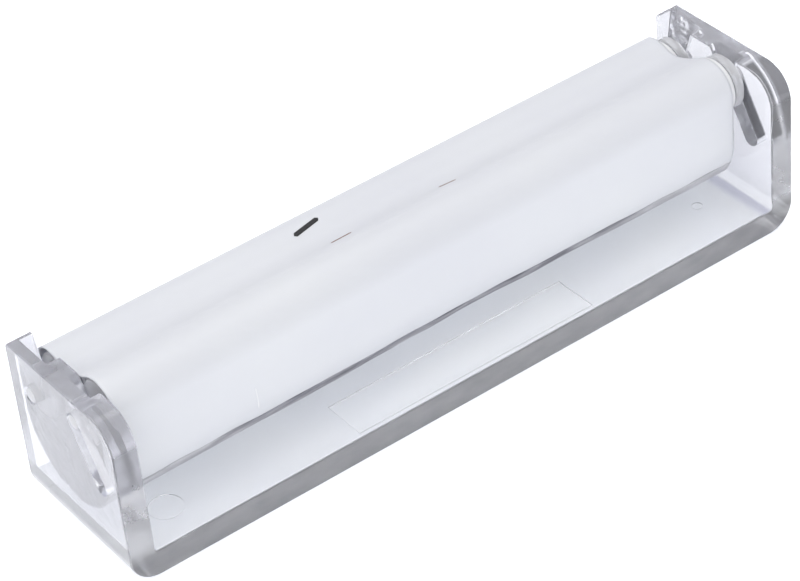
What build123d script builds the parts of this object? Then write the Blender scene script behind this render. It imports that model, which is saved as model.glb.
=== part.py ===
from build123d import *
import math
import os

# Hand-operated two-roller cigarette rolling machine, king size.
# Frame of the part: X along the rollers, Y from front to back, Z up.
# Origin: middle of the footprint, on the surface that the frame rests on. Units: mm.

# ---------------------------------------------------------------- driving dimensions
# clear moulded frame
L = 126.0            # over the end plates
W = 27.0             # front to back
H = 28.85            # height of the end plates
T_END = 4.25         # end plate thickness
T_FLOOR = 4.55       # floor thickness
R_BOTTOM = 4.7       # outer lower corners, seen from the front
R_TOP_FRONT = 5.5    # upper front corner of each end plate, seen from the side
R_INNER = 0.5        # inner corner between floor and end plate
R_EDGE = 0.35        # softened outer edges of the moulding
# lead-in ramps on the inner faces, through which the pins snap in from above:
# (y at the top edge front, y at the foot front, y at the foot back, y at the top edge back, foot z, depth at the top)
RAMP_REAR = (18.7, 20.6, 24.6, 26.2, 23.05, 2.4)
RAMP_FRONT = (8.2, 8.7, 12.0, 14.4, 25.65, 1.8)

# shallow marks in the floor: moulded panel and ejector marks
PANEL = (-22.0, 22.5, 1.0, 9.0)      # x0, x1, y0, y1 (y from the front face)
PANEL_DEPTH = 0.2
EJECTOR = (-52.4, 7.0, 2.7)          # x, y, radius
GATE = (50.9, 9.0, 0.9)
MARK_DEPTH = 0.15

# rollers and plugs
REAR_Y, REAR_Z = 22.0, 22.15         # rear roller axis, y from the front face
FRONT_Y, FRONT_Z = 10.0, 24.75       # front roller axis at the top of its slot
OPEN_Y, OPEN_Z = 4.9, 16.05          # front roller axis at the foot of its slot
TUBE_R = 4.6
TUBE_BORE_R = 3.2
TUBE_HALF = 56.4
SPIGOT_CLEAR = 0.05
SPIGOT_LEN = 6.2
FLANGE_R = 4.5
FLANGE_IN = 56.6
FLANGE_OUT = 58.35
CUP_R = 2.1
PIN_R_FRONT = 1.45
SLOT_HALF = 1.5
PIN_R_REAR = 1.52
HOLE_R = 1.50
PIN_END = 62.9

# apron: one endless loop of thin vinyl round both rollers
APRON_X0, APRON_X1 = -58.5, 55.4      # 113.9 mm wide; it has crept 1.6 mm to the left on its rollers
APRON_T = 0.25
APRON_GAP = 0.10
APRON_LIFT = 0.65
APRON_BELLY_Z = 16.95                # height of the centre of the hanging belly

os.makedirs("parts", exist_ok=True)

Y0 = -W / 2.0                        # front face of the frame


# ---------------------------------------------------------------- frame
half = L / 2.0
xi = half - T_END

with BuildPart() as channel:
    with BuildSketch(Plane.XZ.offset(-W / 2.0)):
        with BuildLine():
            Polyline(
                (-half, 0), (half, 0), (half, H), (xi, H), (xi, T_FLOOR),
                (-xi, T_FLOOR), (-xi, H), (-half, H), (-half, 0),
            )
        make_face()
    extrude(amount=W)

frame = channel.part
bottom_long = [
    e for e in frame.edges().filter_by(Axis.Y)
    if abs(e.center().Z) < 1e-6 and abs(abs(e.center().X) - half) < 1e-6
]
frame = fillet(bottom_long, R_BOTTOM)
inner_long = [
    e for e in frame.edges().filter_by(Axis.Y)
    if abs(e.center().Z - T_FLOOR) < 1e-6 and abs(abs(e.center().X) - xi) < 1e-6
]
frame = fillet(inner_long, R_INNER)

# side outline of the plates, drawn in the YZ plane and swept along X
s45 = math.sqrt(0.5)
zt = H
with BuildPart() as outline:
    with BuildSketch(Plane.YZ.offset(-half - 1.0)):
        with BuildLine():
            Line((Y0, -1.0), (Y0, zt - R_TOP_FRONT))
            ThreePointArc(
                (Y0, zt - R_TOP_FRONT),
                (Y0 + R_TOP_FRONT * (1 - s45), zt - R_TOP_FRONT * (1 - s45)),
                (Y0 + R_TOP_FRONT, zt),
            )
            Polyline(
                (Y0 + R_TOP_FRONT, zt),
                (Y0 + W - 0.4, H),
                (Y0 + W, H - 0.6),
                (Y0 + W, -1.0),
                (Y0, -1.0),
            )
        make_face()
    extrude(amount=L + 2.0)

frame = frame & outline.part

# softened edges: every long outer edge of the moulding that a hand meets
soft = []
for e in frame.edges():
    c = e.center()
    bb = e.bounding_box()
    flat_x = bb.size.X < 1e-4
    on_face = abs(abs(c.X) - half) < 1e-4 or abs(abs(c.X) - xi) < 1e-4
    if flat_x and on_face and c.Z > R_BOTTOM + 0.4 and bb.size.Z < 1e-4:
        soft.append(e)
try:
    frame = fillet(soft, R_EDGE)
except Exception as err:
    print("top edges left sharp:", err)

soft = []
for e in frame.edges():
    c = e.center()
    bb = e.bounding_box()
    if bb.size.X > 60 and abs(c.Y - Y0) < 1e-4:
        soft.append(e)
try:
    frame = fillet(soft, 0.25)
except Exception as err:
    print("front edges left sharp:", err)

# shallow marks on the floor
floor_cut = Box(
    PANEL[1] - PANEL[0], PANEL[3] - PANEL[2], 2 * PANEL_DEPTH,
).move(Location(((PANEL[0] + PANEL[1]) / 2, Y0 + (PANEL[2] + PANEL[3]) / 2, T_FLOOR)))
frame = frame - floor_cut
for mx, my, mr in (EJECTOR, GATE):
    frame = frame - Cylinder(mr, 2 * MARK_DEPTH).move(Location((mx, Y0 + my, T_FLOOR)))

# lead-in ramps: a wedge that is deepest at the top edge, narrowing towards the pin
for ya, yb, yc, yd, zf, depth in (RAMP_REAR, RAMP_FRONT):
    for sx in (-1, 1):
        with BuildPart() as funnel:
            with BuildSketch(Plane.YZ.offset(-half - 1.0)):
                Polygon(
                    (Y0 + ya - (yb - ya) * 0.5 / (H - zf), H + 0.5), (Y0 + yb, zf), (Y0 + yc, zf),
                    (Y0 + yd + (yd - yc) * 0.5 / (H - zf), H + 0.5), align=None,
                )
            extrude(amount=L + 2.0)
        slope = depth / (H - zf)
        with BuildPart() as ramp:
            with BuildSketch(Plane.XZ.offset(-W / 2.0)):
                Polygon(
                    (sx * (xi - 0.5), zf - 0.5 / slope), (sx * (xi + depth + 0.5 * slope), H + 0.5),
                    (sx * (xi - 0.5), H + 0.5), align=None,
                )
            extrude(amount=W)
        frame = frame - (funnel.part & ramp.part)

# rear holes and slanted front slots through both plates
for sx in (-1, 1):
    x_mid = sx * (half - T_END / 2)
    hole = Cylinder(HOLE_R, T_END + 2.0, rotation=(0, 90, 0)).move(
        Location((x_mid, Y0 + REAR_Y, REAR_Z)))
    frame = frame - hole

dy, dz = OPEN_Y - FRONT_Y, OPEN_Z - FRONT_Z
slot_len = math.hypot(dy, dz)
ny, nz = -dz / slot_len, dy / slot_len        # unit normal to the slot in YZ
uy, uz = dy / slot_len, dz / slot_len
a = (Y0 + FRONT_Y, FRONT_Z)
b = (Y0 + OPEN_Y, OPEN_Z)
h = SLOT_HALF
with BuildPart() as slot_tool:
    with BuildSketch(Plane.YZ.offset(-half - 1.0)):
        with BuildLine():
            Line((a[0] + ny * h, a[1] + nz * h), (b[0] + ny * h, b[1] + nz * h))
            ThreePointArc((b[0] + ny * h, b[1] + nz * h), (b[0] + uy * h, b[1] + uz * h), (b[0] - ny * h, b[1] - nz * h))
            Line((b[0] - ny * h, b[1] - nz * h), (a[0] - ny * h, a[1] - nz * h))
            ThreePointArc((a[0] - ny * h, a[1] - nz * h), (a[0] - uy * h, a[1] - uz * h), (a[0] + ny * h, a[1] + nz * h))
        make_face()
    extrude(amount=L + 2.0)
frame = frame - slot_tool.part

export_step(frame, "parts/frame.step")


# ---------------------------------------------------------------- rollers
def tube(cy, cz):
    body = Cylinder(TUBE_R, 2 * TUBE_HALF, rotation=(0, 90, 0)) - Cylinder(
        TUBE_BORE_R, 2 * TUBE_HALF + 2.0, rotation=(0, 90, 0))
    ends = [e for e in body.edges().filter_by(GeomType.CIRCLE) if abs(e.radius - TUBE_R) < 1e-6]
    body = chamfer(ends, 0.25)
    return body.move(Location((0, Y0 + cy, cz)))


def plug(side, cy, cz, pin_r):
    # section in the XY plane, turned about X: spigot, flange, shoulder and pin
    spig_r = TUBE_BORE_R - SPIGOT_CLEAR
    pts = [
        (FLANGE_IN - SPIGOT_LEN, CUP_R),
        (FLANGE_IN - SPIGOT_LEN, spig_r - 0.3),
        (FLANGE_IN - SPIGOT_LEN + 0.5, spig_r),
        (FLANGE_IN, spig_r),
        (FLANGE_IN, FLANGE_R - 0.15),
        (FLANGE_IN + 0.15, FLANGE_R),
        (FLANGE_OUT - 0.3, FLANGE_R),
        (FLANGE_OUT, FLANGE_R - 0.3),
        (FLANGE_OUT, pin_r),
        (PIN_END - 0.35, pin_r),
        (PIN_END, pin_r - 0.35),
        (PIN_END, 0.0),
        (FLANGE_IN + 0.2, 0.0),
        (FLANGE_IN + 0.2, CUP_R - 0.4),
        (FLANGE_IN - 0.2, CUP_R),
    ]
    pts = [(side * x, r) for x, r in pts]
    with BuildPart() as p:
        with BuildSketch(Plane.XY):
            with BuildLine():
                Polyline(*pts, close=True)
            make_face()
        revolve(axis=Axis.X, revolution_arc=360)
    return p.part.move(Location((0, Y0 + cy, cz)))


export_step(tube(REAR_Y, REAR_Z), "parts/rear_roller_tube.step")
export_step(tube(FRONT_Y, FRONT_Z), "parts/front_roller_tube.step")
export_step(plug(-1, REAR_Y, REAR_Z, PIN_R_REAR), "parts/rear_plug_left.step")
export_step(plug(1, REAR_Y, REAR_Z, PIN_R_REAR), "parts/rear_plug_right.step")
export_step(plug(-1, FRONT_Y, FRONT_Z, PIN_R_FRONT), "parts/front_plug_left.step")
export_step(plug(1, FRONT_Y, FRONT_Z, PIN_R_FRONT), "parts/front_plug_right.step")


# ---------------------------------------------------------------- apron
# The loop's mid line: over the rear roller, a shallow dip between the rollers,
# over the front roller, down in front, round a hanging belly, and up behind.
def hermite(p0, t0, p1, t1, n):
    out = []
    for i in range(n + 1):
        s = i / n
        h00 = 2 * s ** 3 - 3 * s ** 2 + 1
        h10 = s ** 3 - 2 * s ** 2 + s
        h01 = -2 * s ** 3 + 3 * s ** 2
        h11 = s ** 3 - s ** 2
        out.append((
            h00 * p0[0] + h10 * t0[0] + h01 * p1[0] + h11 * t1[0],
            h00 * p0[1] + h10 * t0[1] + h01 * p1[1] + h11 * t1[1],
        ))
    return out


def arc(cy, cz, r, a0, a1, n):
    return [
        (cy + r * math.cos(math.radians(a0 + (a1 - a0) * i / n)),
         cz + r * math.sin(math.radians(a0 + (a1 - a0) * i / n)))
        for i in range(n + 1)
    ]


rc = TUBE_R + APRON_GAP + APRON_T / 2
REAR_OFF, FRONT_ON = 112.0, 58.0
# the slack sheet stands a little off the back of the rear roller
rear_arc = []
for i in range(11):
    a = math.radians(REAR_OFF * i / 10)
    r = rc + APRON_LIFT * math.sin(math.pi * i / 10) ** 2
    rear_arc.append((REAR_Y + r * math.cos(a), REAR_Z + r * math.sin(a)))
front_arc = arc(FRONT_Y, FRONT_Z, rc, FRONT_ON, 180, 9)
t_a = (-math.sin(math.radians(REAR_OFF)), math.cos(math.radians(REAR_OFF)))
t_b = (-math.sin(math.radians(FRONT_ON)), math.cos(math.radians(FRONT_ON)))
k = 7.0
dip = hermite(rear_arc[-1], (t_a[0] * k, t_a[1] * k), front_arc[0], (t_b[0] * k, t_b[1] * k), 6)
belly_c = (REAR_Y + rc + FRONT_Y - rc) / 2
belly_r = (REAR_Y + rc - (FRONT_Y - rc)) / 2
belly = arc(belly_c, APRON_BELLY_Z, belly_r, 180, 360, 12)
front_hang = [(FRONT_Y - rc, FRONT_Z + (APRON_BELLY_Z - FRONT_Z) * i / 3) for i in range(4)]
rear_hang = [(REAR_Y + rc, APRON_BELLY_Z + (REAR_Z - APRON_BELLY_Z) * i / 2) for i in range(3)]
mid = rear_arc + dip[1:] + front_arc[1:] + front_hang[1:] + belly[1:] + rear_hang[1:-1]
length = sum(math.dist(mid[i], mid[(i + 1) % len(mid)]) for i in range(len(mid)))
print("apron loop length along its mid line: %.1f mm, width %.1f mm" % (length, APRON_X1 - APRON_X0))


def offset(points, d):
    out = []
    n = len(points)
    for i in range(n):
        p, q = points[i - 1], points[(i + 1) % n]
        tx, ty = q[0] - p[0], q[1] - p[1]
        m = math.hypot(tx, ty)
        out.append((points[i][0] + d * ty / m, points[i][1] - d * tx / m))
    return out


def loop_face(points):
    pts = [Vector(APRON_X0, Y0 + y, z) for y, z in points]
    edge = Edge.make_spline(pts, periodic=True)
    return Face(Wire([edge]))


outer = loop_face(offset(mid, APRON_T / 2))
inner = loop_face(offset(mid, -APRON_T / 2))
ring = outer - inner
apron = extrude(ring, amount=APRON_X1 - APRON_X0, dir=(1, 0, 0))
export_step(apron, "parts/apron.step")
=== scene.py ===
import math

import bpy
import numpy as np
from mathutils import Matrix, Vector


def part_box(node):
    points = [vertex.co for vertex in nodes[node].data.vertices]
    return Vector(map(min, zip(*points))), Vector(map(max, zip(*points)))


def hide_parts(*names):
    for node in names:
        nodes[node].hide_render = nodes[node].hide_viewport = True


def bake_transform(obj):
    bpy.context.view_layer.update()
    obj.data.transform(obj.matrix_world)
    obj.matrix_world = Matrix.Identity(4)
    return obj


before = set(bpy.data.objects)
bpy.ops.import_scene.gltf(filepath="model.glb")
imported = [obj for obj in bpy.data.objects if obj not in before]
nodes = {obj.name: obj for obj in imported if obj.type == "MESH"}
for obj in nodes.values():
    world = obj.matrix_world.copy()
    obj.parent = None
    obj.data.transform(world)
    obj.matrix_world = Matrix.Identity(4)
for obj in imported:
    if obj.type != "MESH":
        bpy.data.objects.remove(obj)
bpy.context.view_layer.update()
MM = 0.001

# ------------------------------------------------------------------ camera
cam_data = bpy.data.cameras.new("camera")
cam_data.lens = 138.93
cam_data.sensor_width = 36.0
cam_data.sensor_fit = "HORIZONTAL"
cam_data.clip_start, cam_data.clip_end = 0.01, 20.0
cam = bpy.data.objects.new("camera", cam_data)
bpy.context.scene.collection.objects.link(cam)
right = Vector((0.79397, -0.60273, -0.07955)).normalized()
back = -Vector((0.43757, 0.65737, -0.61351)).normalized()
up = back.cross(right).normalized()
right = up.cross(back).normalized()
cam.matrix_world = Matrix((
    (right.x, up.x, back.x, -0.20671),
    (right.y, up.y, back.y, -0.30438),
    (right.z, up.z, back.z, 0.29845),
    (0, 0, 0, 1),
))
bpy.context.scene.camera = cam
# thick clear plastic needs long light paths, or its rims go black
cy = bpy.context.scene.cycles
cy.max_bounces, cy.glossy_bounces, cy.transmission_bounces, cy.diffuse_bounces = 28, 16, 24, 5
cy.blur_glossy = 0.6


# ------------------------------------------------------------------ node helpers
def new_material(name):
    m = bpy.data.materials.new(name)
    m.use_nodes = True
    nt = m.node_tree
    bsdf = nt.nodes.get("Principled BSDF")
    if bsdf is None:
        nt.nodes.clear()
        out = nt.nodes.new("ShaderNodeOutputMaterial")
        bsdf = nt.nodes.new("ShaderNodeBsdfPrincipled")
        nt.links.new(bsdf.outputs[0], out.inputs[0])
    return m, nt, bsdf


def noise(nt, scale, detail=3.0, rough=0.5, coords=None, stretch=None):
    n = nt.nodes.new("ShaderNodeTexNoise")
    n.inputs["Scale"].default_value = scale
    n.inputs["Detail"].default_value = detail
    n.inputs["Roughness"].default_value = rough
    src = coords
    if stretch is not None:
        mp = nt.nodes.new("ShaderNodeMapping")
        mp.inputs["Scale"].default_value = stretch
        nt.links.new(coords, mp.inputs["Vector"])
        src = mp.outputs["Vector"]
    if src is not None:
        nt.links.new(src, n.inputs["Vector"])
    return n.outputs["Fac"]


def object_coords(nt):
    return nt.nodes.new("ShaderNodeTexCoord").outputs["Object"]


def remap(nt, value, lo, hi, a, b):
    r = nt.nodes.new("ShaderNodeMapRange")
    r.inputs["From Min"].default_value = lo
    r.inputs["From Max"].default_value = hi
    r.inputs["To Min"].default_value = a
    r.inputs["To Max"].default_value = b
    nt.links.new(value, r.inputs["Value"])
    return r.outputs["Result"]


def ramp(nt, value, stops):
    r = nt.nodes.new("ShaderNodeValToRGB")
    els = r.color_ramp.elements
    while len(els) < len(stops):
        els.new(0.5)
    for e, (p, c) in zip(els, stops):
        e.position = p
        e.color = (*c, 1.0)
    nt.links.new(value, r.inputs["Fac"])
    return r.outputs["Color"]


def bump(nt, height, distance, strength=1.0, normal=None):
    b = nt.nodes.new("ShaderNodeBump")
    b.inputs["Distance"].default_value = distance
    b.inputs["Strength"].default_value = strength
    nt.links.new(height, b.inputs["Height"])
    if normal is not None:
        nt.links.new(normal, b.inputs["Normal"])
    return b.outputs["Normal"]


def use(obj, mat):
    obj.data.materials.clear()
    obj.data.materials.append(mat)


# ------------------------------------------------------------------ materials
def mix_colour(nt, fac, c1, c2):
    m = nt.nodes.new("ShaderNodeMix")
    m.data_type = "RGBA"
    for socket, value in ((0, fac), (6, c1), (7, c2)):
        if isinstance(value, tuple):
            m.inputs[socket].default_value = (*value, 1.0)
        else:
            nt.links.new(value, m.inputs[socket])
    return m.outputs[2]


def times(nt, a, b):
    m = nt.nodes.new("ShaderNodeMath")
    m.operation = "MULTIPLY"
    for socket, value in ((0, a), (1, b)):
        if isinstance(value, float):
            m.inputs[socket].default_value = value
        else:
            nt.links.new(value, m.inputs[socket])
    return m.outputs[0]


def plus(nt, a, b):
    m = nt.nodes.new("ShaderNodeMath")
    m.operation = "ADD"
    m.use_clamp = True
    nt.links.new(a, m.inputs[0])
    nt.links.new(b, m.inputs[1])
    return m.outputs[0]


def clear_plastic(name, wall_shade0, wall_shade1, tray_lit0, tray_lit1, rim_shade0, rim_shade1, clear, slots=False,
                  foot_shadow_tint=(0.52, 0.52, 0.68)):
    m, nt, b = new_material(name)
    co = object_coords(nt)
    sep = nt.nodes.new("ShaderNodeSeparateXYZ")
    nt.links.new(co, sep.inputs[0])
    b.inputs["Transmission Weight"].default_value = clear
    b.inputs["IOR"].default_value = 1.49
    # a faint cold tint that varies a little through the moulding
    cloud = noise(nt, 75.0, 3.0, 0.5, co)
    walls_shaded = ramp(nt, cloud, [(0.35, wall_shade0), (0.65, wall_shade1)])
    tray_lit = ramp(nt, cloud, [(0.35, tray_lit0), (0.65, tray_lit1)])
    # the walls above the tray take a darker tint than the tray: painted refraction shade on the walls, painted light on
    # the tray
    above = remap(nt, sep.outputs["Z"], 0.0043, 0.0050, 0.0, 1.0)
    body = mix_colour(nt, above, tray_lit, walls_shaded)
    # painted contact shadow: the foot of each end plate is tinted a darker, colder grey
    out = nt.nodes.new("ShaderNodeMath")
    out.operation = "ABSOLUTE"
    nt.links.new(sep.outputs["X"], out.inputs[0])
    foot_shadow = times(nt, remap(nt, sep.outputs["Z"], 0.0018, 0.0006, 0.0, 0.75), remap(nt, out.outputs[0], 0.0580, 0.0592, 0.0, 1.0))
    body = mix_colour(nt, foot_shadow, body, foot_shadow_tint)
    # the sawn-looking front edge of the tray: duller, with painted refraction shade making it greyer and mottled
    rim_shade_mottle = ramp(nt, noise(nt, 380.0, 2.0, 0.5, co, (0.5, 1.0, 1.3)), [(0.30, rim_shade0), (0.70, rim_shade1)])
    front = remap(nt, sep.outputs["Y"], -0.01330, -0.01346, 0.0, 1.0)
    low = remap(nt, sep.outputs["Z"], 0.0065, 0.0043, 0.60, 1.0)
    edge = times(nt, front, low)
    body = mix_colour(nt, edge, body, rim_shade_mottle)
    if slots:
        # painted dark reflection: a dark, non-clear strip on the front wall of the right slanted slot stands in for the
        # shade seen there
        def across(ny, nz):
            d = nt.nodes.new("ShaderNodeVectorMath")
            d.operation = "DOT_PRODUCT"
            d.inputs[1].default_value = (0.0, ny, nz)
            off = nt.nodes.new("ShaderNodeMath")
            off.operation = "SUBTRACT"
            off.inputs[1].default_value = ny * -0.0035 + nz * 0.02475
            nt.links.new(co, d.inputs[0])
            nt.links.new(d.outputs["Value"], off.inputs[0])
            return off.outputs[0]

        side = across(-0.8627, 0.5057)
        along = across(-0.5057, -0.8627)
        wall = times(nt, remap(nt, side, 0.00134, 0.00146, 0.0, 1.0), remap(nt, side, 0.00156, 0.00168, 1.0, 0.0))
        reach = times(nt, remap(nt, along, 0.0, 0.0012, 0.0, 1.0), remap(nt, along, 0.0104, 0.0110, 1.0, 0.0))
        depth = times(nt, remap(nt, sep.outputs["X"], 0.05890, 0.05905, 0.0, 1.0), remap(nt, sep.outputs["X"], 0.0624, 0.0628, 1.0, 0.0))
        slot_shade_mask = times(nt, times(nt, wall, reach), depth)
        slot_shade_colour = ramp(nt, noise(nt, 900.0, 3.0, 0.6, co, (2.0, 0.6, 0.6)), [(0.35, (0.012, 0.014, 0.020)), (0.75, (0.10, 0.105, 0.13))])
        body = mix_colour(nt, slot_shade_mask, body, slot_shade_colour)
        nt.links.new(remap(nt, slot_shade_mask, 0.0, 1.0, clear, 0.0), b.inputs["Transmission Weight"])
        nt.links.new(remap(nt, slot_shade_mask, 0.0, 1.0, 0.5, 0.0), b.inputs["Specular IOR Level"])
    nt.links.new(body, b.inputs["Base Color"])
    # polished, with handling haze in patches, and dull on that edge
    haze = noise(nt, 180.0, 5.0, 0.6, co)
    rough = remap(nt, haze, 0.35, 0.75, 0.03, 0.12)
    nt.links.new(plus(nt, rough, times(nt, edge, 0.38)), b.inputs["Roughness"])
    # slow flow waves of the moulding, and very fine scuffs
    flow = noise(nt, 150.0, 2.0, 0.4, co, (0.35, 1.0, 1.0))
    n1 = bump(nt, flow, 0.0003, 0.4)
    streak = noise(nt, 430.0, 2.0, 0.5, co, (0.5, 0.8, 0.8))
    b2 = nt.nodes.new("ShaderNodeBump")
    b2.inputs["Distance"].default_value = 0.0002
    nt.links.new(remap(nt, above, 0.0, 1.0, 0.04, 0.32), b2.inputs["Strength"])
    nt.links.new(streak, b2.inputs["Height"])
    nt.links.new(n1, b2.inputs["Normal"])
    n1 = b2.outputs["Normal"]
    scuff = noise(nt, 1500.0, 3.0, 0.6, co, (1.0, 0.25, 1.0))
    n2 = bump(nt, scuff, 0.00001, 0.05, n1)
    nt.links.new(n2, b.inputs["Normal"])
    return m


def white_plastic(name, base, rough):
    m, nt, b = new_material(name)
    co = object_coords(nt)
    c0 = tuple(x * 0.96 for x in base)
    nt.links.new(ramp(nt, noise(nt, 350.0, 4.0, 0.55, co), [(0.3, c0), (0.7, base)]), b.inputs["Base Color"])
    nt.links.new(remap(nt, noise(nt, 900.0, 3.0, 0.6, co), 0.3, 0.7, rough - 0.06, rough + 0.08), b.inputs["Roughness"])
    nt.links.new(bump(nt, noise(nt, 2400.0, 3.0, 0.6, co), 0.00002, 0.5), b.inputs["Normal"])
    b.inputs["IOR"].default_value = 1.5
    return m


def vinyl():
    m, nt, b = new_material("white_vinyl_sheet")
    co = object_coords(nt)
    tone = noise(nt, 55.0, 3.0, 0.5, co, (0.5, 1.0, 1.0))
    col = ramp(nt, tone, [(0.3, (0.640, 0.652, 0.690)), (0.7, (0.672, 0.686, 0.712))])
    nt.links.new(col, b.inputs["Base Color"])
    nt.links.new(remap(nt, noise(nt, 500.0, 4.0, 0.6, co), 0.3, 0.7, 0.36, 0.5), b.inputs["Roughness"])
    b.inputs["IOR"].default_value = 1.5
    b.inputs["Subsurface Weight"].default_value = 0.25
    b.inputs["Subsurface Radius"].default_value = (1.0, 1.0, 1.1)
    b.inputs["Subsurface Scale"].default_value = 0.0006
    grain = noise(nt, 3800.0, 3.0, 0.6, co)
    n1 = bump(nt, grain, 0.00002, 0.4)
    ripple = noise(nt, 110.0, 2.0, 0.5, co, (0.25, 1.0, 1.0))
    nt.links.new(bump(nt, ripple, 0.0002, 0.25, n1), b.inputs["Normal"])
    return m


def ink(name, dark, light):
    m, nt, b = new_material(name)
    co = object_coords(nt)
    nt.links.new(ramp(nt, noise(nt, 1800.0, 4.0, 0.6, co), [(0.3, dark), (0.75, light)]), b.inputs["Base Color"])
    nt.links.new(remap(nt, noise(nt, 2500.0, 2.0, 0.5, co), 0.3, 0.7, 0.4, 0.6), b.inputs["Roughness"])
    nt.links.new(bump(nt, noise(nt, 4000.0, 2.0, 0.5, co), 0.00001, 0.4), b.inputs["Normal"])
    return m


def belly_shade_material():
    """Painted shade where the sheet turns under the belly: greyer than the sheet, darkest in the middle of its length,
    streaked along it.
    """
    m, nt, b = new_material("painted_belly_shade")
    co = object_coords(nt)
    streak = noise(nt, 260.0, 3.0, 0.6, co, (0.42, 2.2, 2.2))
    mid = ramp(nt, streak, [(0.36, (0.12, 0.12, 0.14)), (0.50, (0.24, 0.24, 0.27)), (0.66, (0.40, 0.40, 0.43))])
    ends = ramp(nt, streak, [(0.30, (0.40, 0.40, 0.43)), (0.70, (0.62, 0.62, 0.65))])
    sep = nt.nodes.new("ShaderNodeSeparateXYZ")
    nt.links.new(co, sep.inputs[0])
    right = remap(nt, sep.outputs["X"], 0.022, 0.050, 0.0, 1.0)
    left = remap(nt, sep.outputs["X"], -0.030, -0.054, 0.0, 0.8)
    nt.links.new(mix_colour(nt, plus(nt, right, left), mid, ends), b.inputs["Base Color"])
    b.inputs["Specular IOR Level"].default_value = 0.2
    nt.links.new(remap(nt, noise(nt, 900.0, 3.0, 0.5, co), 0.3, 0.7, 0.42, 0.58), b.inputs["Roughness"])
    nt.links.new(bump(nt, noise(nt, 3000.0, 2.0, 0.5, co), 0.00002, 0.4), b.inputs["Normal"])
    return m


# darker wall tints are painted refraction shade, lighter tray tints painted light, rim tints painted shade
M_CLEAR = clear_plastic("clear_moulded_plastic", (0.762, 0.766, 0.815), (0.808, 0.811, 0.845),
                        (0.980, 0.985, 1.0), (0.992, 0.995, 1.0), (0.20, 0.20, 0.212), (0.28, 0.28, 0.285), 0.79, slots=True)
M_ROLLER = white_plastic("white_roller_plastic", (0.76, 0.765, 0.775), 0.38)
PLUG_TINTS = ((0.91, 0.915, 0.95), (0.95, 0.955, 0.975)) * 3
M_PLUG = clear_plastic("clear_plug_plastic", *PLUG_TINTS, 0.60)
M_BELLY_SHADE = belly_shade_material()
M_SCUFF = ink("pale_scuff", (0.74, 0.75, 0.77), (0.80, 0.81, 0.82))
M_VINYL = vinyl()
M_BLACK = ink("black_print", (0.006, 0.006, 0.007), (0.02, 0.02, 0.022))
M_BROWN = ink("red_brown_print", (0.16, 0.075, 0.055), (0.24, 0.13, 0.10))

use(nodes["frame"], M_CLEAR)
for n in ("rear_roller_tube", "front_roller_tube"):
    use(nodes[n], M_ROLLER)
for n in ("rear_plug_left", "rear_plug_right", "front_plug_left", "front_plug_right"):
    use(nodes[n], M_PLUG)

for n in nodes:
    me_n = nodes[n].data
    me_n.polygons.foreach_set("use_smooth", [True] * len(me_n.polygons))
    me_n.set_sharp_from_angle(angle=math.radians(28))
    wn = nodes[n].modifiers.new("weighted_normals", "WEIGHTED_NORMAL")
    wn.keep_sharp = True
    wn.weight = 100

# ------------------------------------------------------------------ apron
rear_lo, rear_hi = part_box("rear_roller_tube")
front_lo, front_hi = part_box("front_roller_tube")
ap_lo, ap_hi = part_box("apron")
RY, RZ = (rear_lo.y + rear_hi.y) / 2, (rear_lo.z + rear_hi.z) / 2
FY, FZ = (front_lo.y + front_hi.y) / 2, (front_lo.z + front_hi.z) / 2
R_TUBE = (rear_hi.z - rear_lo.z) / 2
X_LEFT, X_RIGHT = ap_lo.x, ap_hi.x
WIDTH = X_RIGHT - X_LEFT
T = 0.25 * MM
RC = (ap_hi.z - FZ) - T / 2
BELLY_Z = 16.95 * MM
LIFT = 0.65 * MM      # the slack sheet stands a little off the back of the rear roller
REAR_OFF, FRONT_ON = math.radians(112.0), math.radians(58.0)


def resample(points, n):
    p = np.array(points + [points[0]], float)
    d = np.concatenate([[0], np.cumsum(np.linalg.norm(np.diff(p, axis=0), axis=1))])
    s = np.linspace(0, d[-1], n + 1)[:-1]
    return np.stack([np.interp(s, d, p[:, k]) for k in range(2)], 1), d[-1], s


def arc(cy, cz, r, a0, a1, n=60):
    return [(cy + r * math.cos(a0 + (a1 - a0) * i / n), cz + r * math.sin(a0 + (a1 - a0) * i / n)) for i in range(n + 1)]


def loop_line():
    rear = []
    for i in range(61):
        a = REAR_OFF * i / 60
        r = RC + LIFT * math.sin(math.pi * i / 60) ** 2
        rear.append((RY + r * math.cos(a), RZ + r * math.sin(a)))
    front = arc(FY, FZ, RC, FRONT_ON, math.pi)
    ta = (-math.sin(REAR_OFF), math.cos(REAR_OFF))
    tb = (-math.sin(FRONT_ON), math.cos(FRONT_ON))
    k = 7.0 * MM
    dip = []
    for i in range(1, 40):
        s = i / 40
        h00, h10 = 2 * s ** 3 - 3 * s ** 2 + 1, s ** 3 - 2 * s ** 2 + s
        h01, h11 = -2 * s ** 3 + 3 * s ** 2, s ** 3 - s ** 2
        dip.append((
            h00 * rear[-1][0] + h10 * ta[0] * k + h01 * front[0][0] + h11 * tb[0] * k,
            h00 * rear[-1][1] + h10 * ta[1] * k + h01 * front[0][1] + h11 * tb[1] * k,
        ))
    c = (RY + RC + FY - RC) / 2
    r = (RY + RC - (FY - RC)) / 2
    hang_f = [(FY - RC, FZ + (BELLY_Z - FZ) * i / 30) for i in range(1, 30)]
    belly = arc(c, BELLY_Z, r, math.pi, 2 * math.pi, 120)
    hang_r = [(RY + RC, BELLY_Z + (RZ - BELLY_Z) * i / 20) for i in range(1, 20)]
    return rear + dip + front + hang_f + belly + hang_r


NV, NX = 400, 260
LINE, LOOP_LEN, S_AT = resample(loop_line(), NV)
CENTRE = np.array([(RY + FY) / 2, BELLY_Z])


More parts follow.
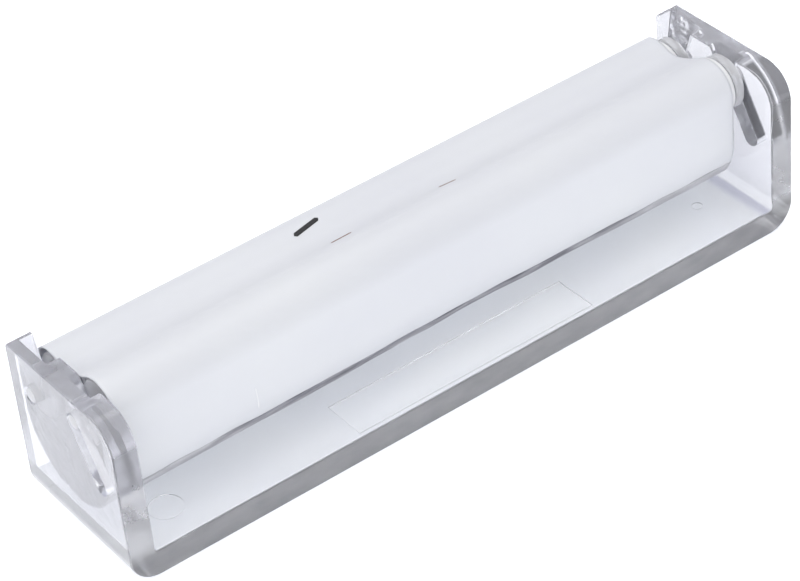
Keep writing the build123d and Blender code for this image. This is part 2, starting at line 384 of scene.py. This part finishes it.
def smooth_noise(seed, n, lo, hi):
    r = np.random.default_rng(seed)
    f = r.uniform(lo, hi, n)
    p = r.uniform(0, 2 * math.pi, n)
    a = r.uniform(0.4, 1.0, n)
    return f, p, a / a.sum()


WF, WP, WA = smooth_noise(3, 7, 1.2, 9.0)
VF, VP, VA = smooth_noise(8, 6, 2.0, 14.0)


def wave(x, f, p, a):
    """A fixed gentle waviness along the sheet, x in -1..1."""
    return (np.sin(np.outer(x, f) * math.pi + p) * a).sum(1)


def build_apron():
    line = LINE
    nxt, prv = np.roll(line, -1, 0), np.roll(line, 1, 0)
    tan = nxt - prv
    tan /= np.linalg.norm(tan, axis=1)[:, None]
    nor = np.stack([tan[:, 1], -tan[:, 0]], 1)          # points out of the loop
    # how freely the sheet hangs: 0 where it lies on a roller, 1 in the belly
    free = np.clip((RZ - 2.0 * MM - line[:, 1]) / (10.0 * MM), 0, 1) ** 1.3
    dip_free = np.exp(-(((line[:, 0] - (RY + FY) / 2) / (2.2 * MM)) ** 2)) * (line[:, 1] > FZ)
    xs = np.linspace(-1, 1, NX + 1)
    w1, w2 = wave(xs, WF, WP, WA), wave(xs, VF, VP, VA)
    P = np.zeros((NX + 1, NV, 3))
    for i, x in enumerate(xs):
        d = free * (0.16 * w1[i] + 0.10 * w2[i] * math.exp(-((x + 0.2) / 0.28) ** 2)) * MM + dip_free * 0.10 * w1[i] * MM
        d = d - free * 0.45 * MM * math.exp(-((x - 0.10) / 0.42) ** 2)
        P[i, :, 0] = X_LEFT + (x + 1) / 2 * WIDTH
        P[i, :, 1] = line[:, 0] + nor[:, 0] * d
        P[i, :, 2] = line[:, 1] + nor[:, 1] * d
    return P, nor


P_MID, NOR = build_apron()
lowest = P_MID[:, :, 2].min() - T / 2
if lowest < ap_lo.z:
    P_MID[:, :, 2] = np.where(P_MID[:, :, 2] < 12 * MM, P_MID[:, :, 2] + (ap_lo.z - lowest) * np.clip((12 * MM - P_MID[:, :, 2]) / (6 * MM), 0, 1), P_MID[:, :, 2])


def sheet_mesh(name, P, t):
    """Closed thin sheet from a grid whose second axis is periodic: outer skin, inner skin and two rims."""
    nx, nv = P.shape[0], P.shape[1]
    du = np.gradient(P, axis=0)
    dv = np.roll(P, -1, 1) - np.roll(P, 1, 1)
    n = np.cross(du, dv)
    n /= np.linalg.norm(n, axis=2)[:, :, None]
    c = P.mean(axis=(0, 1))
    out_sign = np.sign(((P - c) * n).sum(2).mean())
    n *= out_sign
    outer, inner = P + n * t / 2, P - n * t / 2
    verts = np.concatenate([outer.reshape(-1, 3), inner.reshape(-1, 3)])
    k = nx * nv
    faces = []
    for i in range(nx - 1):
        for j in range(nv):
            a, b = i * nv + j, i * nv + (j + 1) % nv
            d, e = (i + 1) * nv + j, (i + 1) * nv + (j + 1) % nv
            q = (a, d, e, b) if out_sign > 0 else (a, b, e, d)
            faces.append(q)
            faces.append(tuple(k + v for v in reversed(q)))
    for j in range(nv):
        a, b = j, (j + 1) % nv
        q = (a, b, k + b, k + a)
        faces.append(q if out_sign > 0 else tuple(reversed(q)))
        a, b = (nx - 1) * nv + j, (nx - 1) * nv + (j + 1) % nv
        q = (a, k + a, k + b, b)
        faces.append(q if out_sign > 0 else tuple(reversed(q)))
    me = bpy.data.meshes.new(name)
    me.from_pydata([tuple(v) for v in verts], [], faces)
    me.update()
    me.polygons.foreach_set("use_smooth", [True] * len(me.polygons))
    o = bpy.data.objects.new(name, me)
    bpy.context.scene.collection.objects.link(o)
    return o


apron = sheet_mesh("apron_sheet", P_MID, T)
use(apron, M_VINYL)
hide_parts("apron")
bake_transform(apron)


# ------------------------------------------------------------------ printed marks on the apron
def mark(name, x0, x1, s0, s1, width, mat, nseg=14):
    """A thin printed dash that follows the sheet. s is the place round the loop, as a share of its length."""
    hx, hs = (x1 - x0), (s1 - s0) * LOOP_LEN
    ln = math.hypot(hx, hs)
    ex, es = hx / ln, hs / ln
    nx_, ns_ = -es, ex
    k = 4
    verts, faces = [], []

    def at(px, ps):
        i = (px - X_LEFT) / WIDTH * NX
        j = (ps % LOOP_LEN) / LOOP_LEN * NV
        i0, j0 = int(math.floor(i)), int(math.floor(j))
        fi, fj = i - i0, j - j0
        i1, j1, j0 = min(i0 + 1, NX), (j0 + 1) % NV, j0 % NV
        return ((P_MID[i0, j0] * (1 - fi) + P_MID[i1, j0] * fi) * (1 - fj)
                + (P_MID[i0, j1] * (1 - fi) + P_MID[i1, j1] * fi) * fj)

    def out(px, ps):
        a = at(px, ps - 0.1 * MM)
        b = at(px, ps + 0.1 * MM)
        t = b - a
        n = np.array([0, t[2], -t[1]])
        return n / np.linalg.norm(n)

    for a in range(nseg + 1):
        u = a / nseg
        end = min(u, 1 - u) * ln
        half_w = width / 2 * min(1.0, math.sqrt(max(0.0, 1 - (1 - min(1.0, end / (width / 2))) ** 2)) + 0.02)
        for b in range(k + 1):
            v = (b / k * 2 - 1) * half_w
            px, ps = x0 + ex * ln * u + nx_ * v, s0 * LOOP_LEN + es * ln * u + ns_ * v
            base, n = at(px, ps), out(px, ps)
            verts.append(base + n * (T / 2 + 0.022 * MM))
    m = len(verts)
    for a in range(nseg + 1):
        u = a / nseg
        end = min(u, 1 - u) * ln
        half_w = width / 2 * min(1.0, math.sqrt(max(0.0, 1 - (1 - min(1.0, end / (width / 2))) ** 2)) + 0.02)
        for b in range(k + 1):
            v = (b / k * 2 - 1) * half_w
            px, ps = x0 + ex * ln * u + nx_ * v, s0 * LOOP_LEN + es * ln * u + ns_ * v
            base, n = at(px, ps), out(px, ps)
            verts.append(base + n * (T / 2 - 0.03 * MM))
    w = k + 1
    for a in range(nseg):
        for b in range(k):
            q = (a * w + b, (a + 1) * w + b, (a + 1) * w + b + 1, a * w + b + 1)
            faces.append(q)
            faces.append(tuple(m + i for i in reversed(q)))
        for b in (0, k):
            q = (a * w + b, m + a * w + b, m + (a + 1) * w + b, (a + 1) * w + b)
            faces.append(q if b == 0 else tuple(reversed(q)))
    for a in (0, nseg):
        for b in range(k):
            q = (a * w + b, a * w + b + 1, m + a * w + b + 1, m + a * w + b)
            faces.append(q if a == 0 else tuple(reversed(q)))
    me = bpy.data.meshes.new(name)
    me.from_pydata([tuple(v) for v in verts], [], faces)
    me.update()
    import bmesh
    bm = bmesh.new()
    bm.from_mesh(me)
    bmesh.ops.recalc_face_normals(bm, faces=bm.faces)
    bm.to_mesh(me)
    bm.free()
    me.polygons.foreach_set("use_smooth", [True] * len(me.polygons))
    o = bpy.data.objects.new(name, me)
    bpy.context.scene.collection.objects.link(o)
    use(o, mat)
    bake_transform(o)
    return o


def s_share(y, z):
    """Share of the way round the loop of the point of the line that is nearest (y, z)."""
    return float(S_AT[np.argmin(np.hypot(LINE[:, 0] - y, LINE[:, 1] - z))] / LOOP_LEN)


mark("print_black_dash", -16.8 * MM, -11.7 * MM, 0.1226, 0.1098, 0.80 * MM, M_BLACK)
mark("print_brown_dash_left", -14.1 * MM, -10.2 * MM, 0.2004, 0.1984, 0.34 * MM, M_BROWN)
mark("print_brown_dash_right", 6.1 * MM, 9.0 * MM, 0.1966, 0.2040, 0.30 * MM, M_BROWN)

mark("scuff_mark", -36.08 * MM, -35.8 * MM, 0.458, 0.512, 0.17 * MM, M_SCUFF)


def belly_shade_strip(name, s_mid, width, mat):
    """A painted shade strip where the belly turns under: a thin strip along the whole sheet, a little wavy, proud of
    the outer skin.
    """
    n, k = 300, 5
    xs = np.linspace(-1, 1, n + 1)
    r = wave(xs, VF, VP, VA)
    wid = width * (1 + 0.16 * wave(xs, VF[::-1], VP, VA))
    top, bot = [], []
    for i, x in enumerate(xs):
        px = min(X_LEFT + (x + 1) / 2 * WIDTH, X_RIGHT)
        gi = (px - X_LEFT) / WIDTH * NX
        g0 = min(int(gi), NX - 1)
        fg = gi - g0
        prof = P_MID[g0] * (1 - fg) + P_MID[g0 + 1] * fg
        for b in range(k + 1):
            ps = s_mid * LOOP_LEN + 0.18 * MM * r[i] + (b / k - 0.5) * wid[i]
            j = ps / LOOP_LEN * NV
            j0 = int(j)
            fj = j - j0
            c = prof[j0 % NV] * (1 - fj) + prof[(j0 + 1) % NV] * fj
            t = prof[(j0 + 2) % NV] - prof[(j0 - 1) % NV]
            nn = np.array([0, t[2], -t[1]])
            nn /= np.linalg.norm(nn)
            up = 0.06 if 0 < b < k else 0.02
            top.append(c + nn * (T / 2 + up * MM))
            bot.append(c + nn * (T / 2 - 0.05 * MM))
    m, w = len(top), k + 1
    faces = []
    for a in range(n):
        for b in range(k):
            q = (a * w + b, (a + 1) * w + b, (a + 1) * w + b + 1, a * w + b + 1)
            faces += [q, tuple(m + v for v in reversed(q))]
        faces += [(a * w, m + a * w, m + (a + 1) * w, (a + 1) * w),
                  ((a + 1) * w + k, m + (a + 1) * w + k, m + a * w + k, a * w + k)]
    for a, flip in ((0, False), (n, True)):
        for b in range(k):
            q = (a * w + b, a * w + b + 1, m + a * w + b + 1, m + a * w + b)
            faces.append(tuple(reversed(q)) if flip else q)
    me = bpy.data.meshes.new(name)
    me.from_pydata([tuple(v) for v in top + bot], [], faces)
    import bmesh
    bm = bmesh.new()
    bm.from_mesh(me)
    bmesh.ops.recalc_face_normals(bm, faces=bm.faces)
    bm.to_mesh(me)
    bm.free()
    me.polygons.foreach_set("use_smooth", [True] * len(me.polygons))
    o = bpy.data.objects.new(name, me)
    bpy.context.scene.collection.objects.link(o)
    use(o, mat)
    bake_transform(o)
    return o


# painted shade strip along the underside of the belly
belly_shade_strip("apron_belly_shade", 0.5615, 3.3 * MM, M_BELLY_SHADE)

# ------------------------------------------------------------------ floor and light
def plain_floor():
    s = 3.0
    me = bpy.data.meshes.new("floor")
    me.from_pydata([(-s, -s, -0.00012), (s, -s, -0.00012), (s, s, -0.00012), (-s, s, -0.00012)], [], [(0, 1, 2, 3)])
    o = bpy.data.objects.new("floor", me)
    bpy.context.scene.collection.objects.link(o)
    m, nt, b = new_material("pale_floor")
    b.inputs["Base Color"].default_value = (0.97, 0.97, 0.97, 1)
    b.inputs["Roughness"].default_value = 0.9
    b.inputs["Specular IOR Level"].default_value = 0.1
    # a softly back-lit white table top
    b.inputs["Emission Color"].default_value = (0.90, 0.94, 1.0, 1)
    b.inputs["Emission Strength"].default_value = 0.46
    use(o, m)
    return o


plain_floor()


def area(name, loc, target, size, power, color=(1, 1, 1), shape="RECTANGLE", size_y=None):
    l = bpy.data.lights.new(name, "AREA")
    l.shape = shape
    l.size = size
    l.size_y = size_y or size
    l.energy = power
    l.color = color
    o = bpy.data.objects.new(name, l)
    bpy.context.scene.collection.objects.link(o)
    o.location = loc
    o.rotation_mode = "QUATERNION"
    o.rotation_quaternion = (Vector(target) - Vector(loc)).to_track_quat("-Z", "Y")
    return o


world = bpy.data.worlds.new("studio")
bpy.context.scene.world = world
world.use_nodes = True
wt = world.node_tree
wt.nodes.clear()
w_out = wt.nodes.new("ShaderNodeOutputWorld")
w_bg = wt.nodes.new("ShaderNodeBackground")
wt.links.new(w_bg.outputs[0], w_out.inputs[0])
w_co = wt.nodes.new("ShaderNodeTexCoord")
w_dot = wt.nodes.new("ShaderNodeVectorMath")
w_dot.operation = "DOT_PRODUCT"
w_dot.inputs[1].default_value = (-0.20, -0.28, 0.94)
wt.links.new(w_co.outputs["Generated"], w_dot.inputs[0])
w_ramp = ramp(wt, remap(wt, w_dot.outputs["Value"], -1.0, 1.0, 0.0, 1.0), [
    (0.30, (0.30, 0.30, 0.33)), (0.52, (0.50, 0.50, 0.54)), (0.75, (0.80, 0.80, 0.83)), (1.0, (1.04, 1.04, 1.04))])
wt.links.new(w_ramp, w_bg.inputs["Color"])
w_bg.inputs["Strength"].default_value = 1.0

area("top_soft", (-0.14, 0.22, 1.1), (0, 0, 0), 1.0, 5.0)
area("left_soft", (-0.90, -0.20, 0.55), (0, 0, 0.01), 0.7, 1.1)

bpy.context.scene.view_settings.view_transform = "Standard"
bpy.context.scene.view_settings.look = "None"
